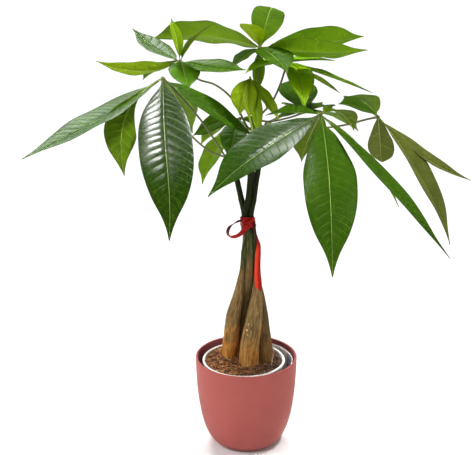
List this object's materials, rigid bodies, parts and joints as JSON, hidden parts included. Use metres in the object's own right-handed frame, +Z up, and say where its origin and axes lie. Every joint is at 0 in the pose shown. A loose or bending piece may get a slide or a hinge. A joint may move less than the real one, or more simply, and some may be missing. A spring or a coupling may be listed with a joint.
{
  "type": "potted money tree",
  "caption": "Potted money tree: twisted trunks tied with a ribbon, palmate leaves, and a nursery pot with a plant tag standing in a rounded cover pot; it rests on a flat foot.",
  "frame": {"origin": "middle of the cover pot's foot, on the surface that it stands on", "axes": "+Z up along the cover pot's axis, -Y towards the front of the plant, +X to the right seen from the front"},
  "size_m": [0.5629, 0.5081, 0.603],
  "materials": {
    "cover_pot": "matte terracotta pink with a softly shaded lip",
    "nursery_pot": "thin white moulded plastic",
    "tag": "pale plastic card, bare",
    "soil": "coarse coir and bark mix",
    "bark": "fibrous bark, orange-tan at the foot, grey-brown above and dark green near the crown",
    "ribbon": "red satin",
    "leaf": "glossy green above, paler and matte below",
    "old_leaf": "dull olive green",
    "young_leaf": "soft yellow-green"
  },
  "bodies": {
    "root": {"cachepot": "cover_pot", "nursery_pot": "nursery_pot", "plant_tag": "tag", "soil": "soil", "trunk_left": "bark", "trunk_front": "bark", "trunk_right": "bark", "trunk_back": "bark", "ribbon": "ribbon", "leaf_a": "leaf", "leaf_b": "leaf", "leaf_c": "leaf", "leaf_d": "leaf", "leaf_e": "leaf", "leaf_g": "old_leaf", "leaf_h": "leaf", "leaf_i": "young_leaf", "leaf_k": "leaf", "leaf_l": "leaf"}
  },
  "joints": []
}
